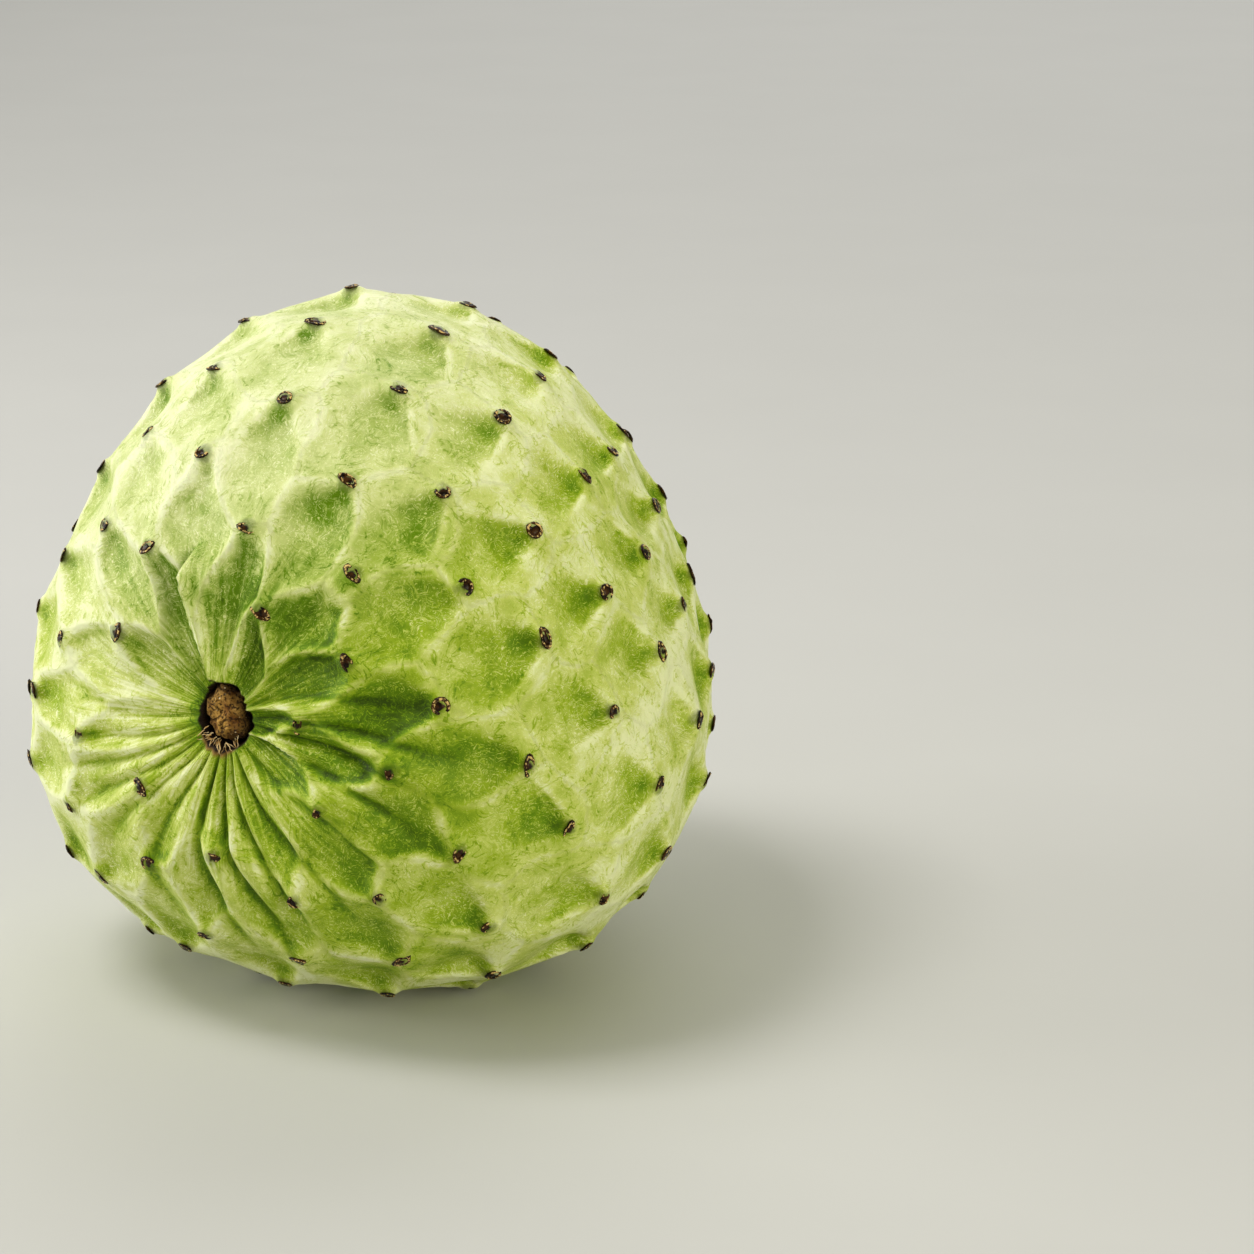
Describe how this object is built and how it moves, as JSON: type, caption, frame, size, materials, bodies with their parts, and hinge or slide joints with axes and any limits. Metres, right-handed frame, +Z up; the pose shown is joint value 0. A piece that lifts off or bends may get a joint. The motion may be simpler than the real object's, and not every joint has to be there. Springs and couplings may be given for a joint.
{
  "type": "custard apple",
  "caption": "Whole custard apple (cherimoya) lying on its side, with scale-like skin, raised dried tips and a corky stalk stub in the stem dimple.",
  "frame": {"origin": "centre of the flat spot on the underside that the fruit rests on", "axes": "+Z up with the fruit lying on its side; the stem end points to -Y and a little to -X"},
  "size_m": [0.1112, 0.1149, 0.1106],
  "materials": {
    "rind": "satin, waxy living fruit skin, pale yellow-green on the raised parts and deeper green in the hollows",
    "cork": "dull, dry brown cork and fibres of the stalk stub",
    "tip": "dark brown dried tips with a slight gloss"
  },
  "bodies": {
    "root": {"fruit": "rind", "stem_stub": "cork"}
  },
  "joints": []
}
